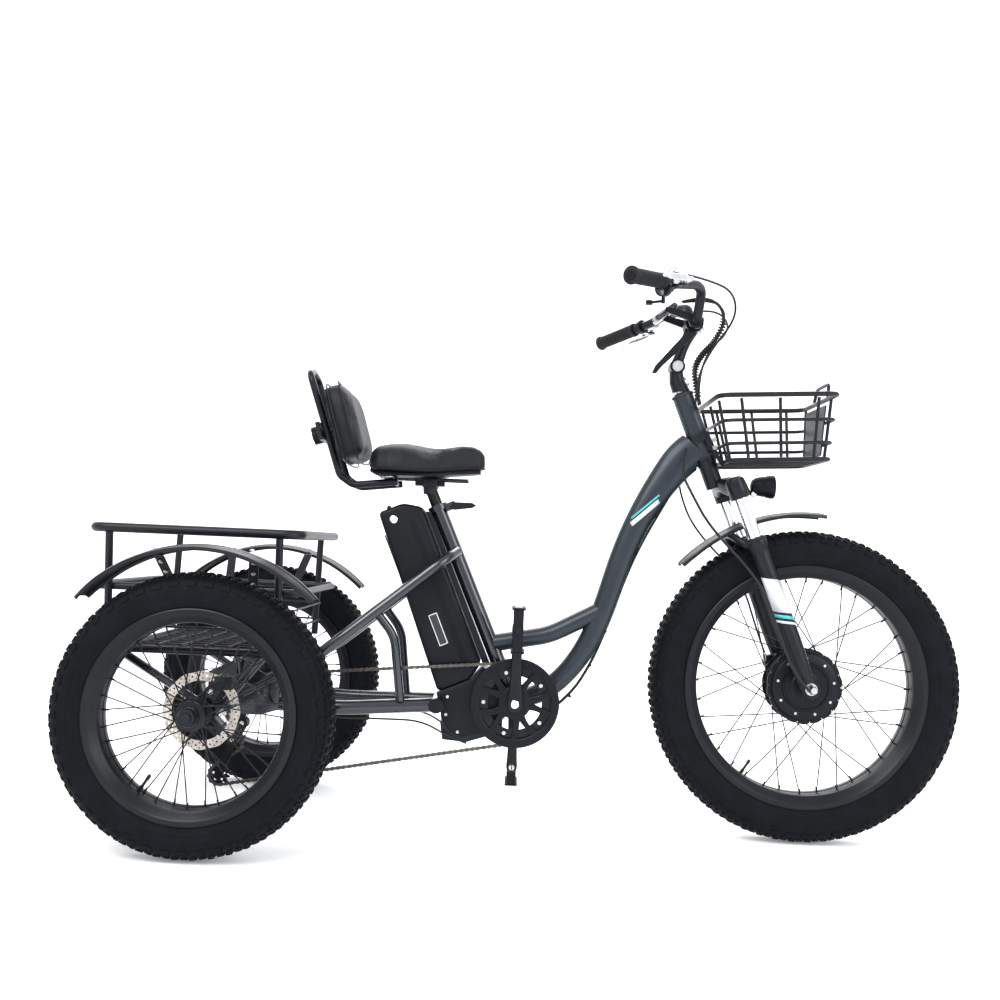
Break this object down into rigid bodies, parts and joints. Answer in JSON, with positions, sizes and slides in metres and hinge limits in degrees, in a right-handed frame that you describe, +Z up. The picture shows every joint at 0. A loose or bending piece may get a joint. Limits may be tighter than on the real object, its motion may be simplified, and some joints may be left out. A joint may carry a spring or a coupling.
{
  "type": "adult electric tricycle",
  "caption": "Fat-tyre electric cargo tricycle with a step-through frame, suspension fork, front basket, rear cargo rack, saddle with backrest and hub motor.",
  "frame": {"origin": "on the ground, under the middle of the overall length, in the frame's middle plane", "axes": "+X forward, +Y to the rider's left, +Z up"},
  "size_m": [1.9244, 0.768, 1.2463],
  "materials": {
    "frame_grey": "satin",
    "frame_black": "gloss",
    "black_steel": "satin",
    "black_alloy": "satin",
    "steel": "satin",
    "chrome": "polished",
    "tyre": "matte",
    "rubber": "matte",
    "vinyl": "satin",
    "plastic": "matte",
    "gloss_plastic": "gloss",
    "alloy": "brushed",
    "chain_steel": "oiled"
  },
  "bodies": {
    "frame": {"seat_tube": "frame_black", "head_tube": "frame_grey", "bearings": "steel", "down_tube": "frame_grey", "chain_stays": "frame_black", "seat_stays": "frame_black", "battery_dock": "plastic", "rear_rack": "black_steel", "rear_carrier": "black_steel", "rear_fenders": "black_steel", "front_basket": "black_steel", "rear_calipers": "black_alloy", "derailleur": "black_alloy", "chain": "chain_steel", "frame_cables": "rubber"},
    "steering": {"fork_upper": "chrome", "stem_base": "black_alloy", "headlight": "gloss_plastic", "fork_cables": "rubber"},
    "bars": {"stem_arm": "black_alloy", "handlebar": "black_alloy", "grips": "rubber", "lever_clamps": "black_alloy", "bar_cables": "rubber"},
    "fork_lower": {"fork_lowers": "black_alloy", "front_fender": "black_steel", "front_caliper": "black_alloy"},
    "front_wheel": {"front_tyre": "tyre", "front_rim": "black_alloy", "front_spokes": "black_alloy", "hub_motor": "black_alloy"},
    "right_wheel": {"right_tyre": "tyre", "right_rim": "black_alloy", "right_spokes": "black_alloy", "right_hub": "black_alloy", "rear_axle": "steel"},
    "left_wheel": {"left_tyre": "tyre", "left_rim": "black_alloy", "left_spokes": "black_alloy", "left_hub": "black_alloy"},
    "crankset": {"crank_arms": "black_alloy", "chainring": "plastic"},
    "cassette": {"cassette": "steel"},
    "guide_pulley": {"guide_pulley": "plastic"},
    "tension_pulley": {"tension_pulley": "plastic"},
    "right_pedal": {"right_pedal": "plastic"},
    "left_pedal": {"left_pedal": "plastic"},
    "display": {"display": "gloss_plastic"},
    "shifter": {"shifter": "plastic"},
    "left_brake_lever": {"left_brake_lever": "alloy"},
    "right_brake_lever": {"right_brake_lever": "alloy"},
    "stem_lever": {"stem_lever": "black_alloy"},
    "seat": {"seat_post": "black_alloy", "backrest_tube": "black_alloy", "saddle": "vinyl"},
    "backrest": {"backrest_slide": "black_alloy", "backrest_pad": "vinyl"},
    "backrest_knob": {"backrest_knob": "plastic"},
    "seat_clamp_lever": {"seat_clamp_lever": "black_alloy"},
    "battery": {"battery_case": "plastic"}
  },
  "joints": [
    {"name": "steer", "type": "hinge", "parent": "frame", "child": "steering", "pos_m": [0.372, 0, 0.862], "axis": [-0.3665, 0, 0.9304], "range_deg": [-45, 45]},
    {"name": "stem_tilt", "type": "hinge", "parent": "steering", "child": "bars", "pos_m": [0.299, 0, 1.071], "axis": [0, 1, 0], "range_deg": [-20, 15], "deforming": ["bar_cables"]},
    {"name": "stem_lever_flip", "type": "hinge", "parent": "bars", "child": "stem_lever", "pos_m": [0.32, -0.03, 1.14], "axis": [0, 1, 0], "range_deg": [0, 60]},
    {"name": "display_tilt", "type": "hinge", "parent": "bars", "child": "display", "pos_m": [0.268, 0, 1.196], "axis": [0, 1, 0], "range_deg": [-20, 20]},
    {"name": "shift", "type": "hinge", "parent": "bars", "child": "shifter", "pos_m": [0.23036, -0.23376, 1.17597], "axis": [0, 0, 1], "range_deg": [0, 25], "stiffness_Nm_per_rad": 0.3},
    {"name": "left_brake", "type": "hinge", "parent": "bars", "child": "left_brake_lever", "pos_m": [0.26971, 0.24454, 1.20903], "axis": [0, 0, 1], "range_deg": [0, 14], "stiffness_Nm_per_rad": 1.5},
    {"name": "right_brake", "type": "hinge", "parent": "bars", "child": "right_brake_lever", "pos_m": [0.26971, -0.24454, 1.20903], "axis": [0, 0, -1], "range_deg": [0, 14], "stiffness_Nm_per_rad": 1.5},
    {"name": "fork_travel", "type": "slide", "parent": "steering", "child": "fork_lower", "axis": [-0.3665, 0, 0.9304], "range_m": [0, 0.03], "stiffness_N_per_m": 9000, "springref_m": -0.05, "deforming": ["fork_cables"]},
    {"name": "front_wheel_spin", "type": "hinge", "parent": "fork_lower", "child": "front_wheel", "pos_m": [0.61043, 0, 0.35221], "axis": [0, 1, 0], "continuous": true},
    {"name": "right_wheel_spin", "type": "hinge", "parent": "frame", "child": "right_wheel", "pos_m": [-0.68, 0, 0.282], "axis": [0, 1, 0], "continuous": true},
    {"name": "left_wheel_spin", "type": "hinge", "parent": "frame", "child": "left_wheel", "pos_m": [-0.68, 0, 0.282], "axis": [0, 1, 0], "continuous": true},
    {"name": "crank_spin", "type": "hinge", "parent": "frame", "child": "crankset", "pos_m": [-0.044, 0, 0.291], "axis": [0, 1, 0], "continuous": true},
    {"name": "right_pedal_spin", "type": "hinge", "parent": "crankset", "child": "right_pedal", "pos_m": [-0.044, -0.13, 0.461], "axis": [0, 1, 0], "continuous": true},
    {"name": "left_pedal_spin", "type": "hinge", "parent": "crankset", "child": "left_pedal", "pos_m": [-0.044, 0.13, 0.121], "axis": [0, 1, 0], "continuous": true},
    {"name": "cassette_spin", "type": "hinge", "parent": "frame", "child": "cassette", "pos_m": [-0.68, 0, 0.282], "axis": [0, 1, 0], "continuous": true},
    {"name": "guide_pulley_spin", "type": "hinge", "parent": "frame", "child": "guide_pulley", "pos_m": [-0.672, -0.052, 0.176], "axis": [0, 1, 0], "continuous": true},
    {"name": "tension_pulley_spin", "type": "hinge", "parent": "frame", "child": "tension_pulley", "pos_m": [-0.7, -0.052, 0.102], "axis": [0, 1, 0], "continuous": true},
    {"name": "seat_height", "type": "slide", "parent": "frame", "child": "seat", "axis": [-0.4057, 0, 0.914], "range_m": [0, 0.1]},
    {"name": "seat_clamp_flip", "type": "hinge", "parent": "frame", "child": "seat_clamp_lever", "pos_m": [-0.206, 0, 0.727], "axis": [0, -1, 0], "range_deg": [0, 45]},
    {"name": "backrest_height", "type": "slide", "parent": "seat", "child": "backrest", "axis": [-0.3261, 0, 0.9453], "range_m": [0, 0.03]},
    {"name": "backrest_knob_turn", "type": "hinge", "parent": "backrest", "child": "backrest_knob", "pos_m": [-0.512, 0, 0.883], "axis": [0.9563, 0, 0.2924], "range_deg": [-180, 180]},
    {"name": "battery_slide", "type": "slide", "parent": "frame", "child": "battery", "axis": [-0.3939, 0, 0.9191], "range_m": [0, 0.03]}
  ],
  "couplings": [
    {"joint": "cassette_spin", "follows": "crank_spin", "ratio": 2.2},
    {"joint": "guide_pulley_spin", "follows": "crank_spin", "ratio": -4},
    {"joint": "tension_pulley_spin", "follows": "crank_spin", "ratio": 4}
  ]
}
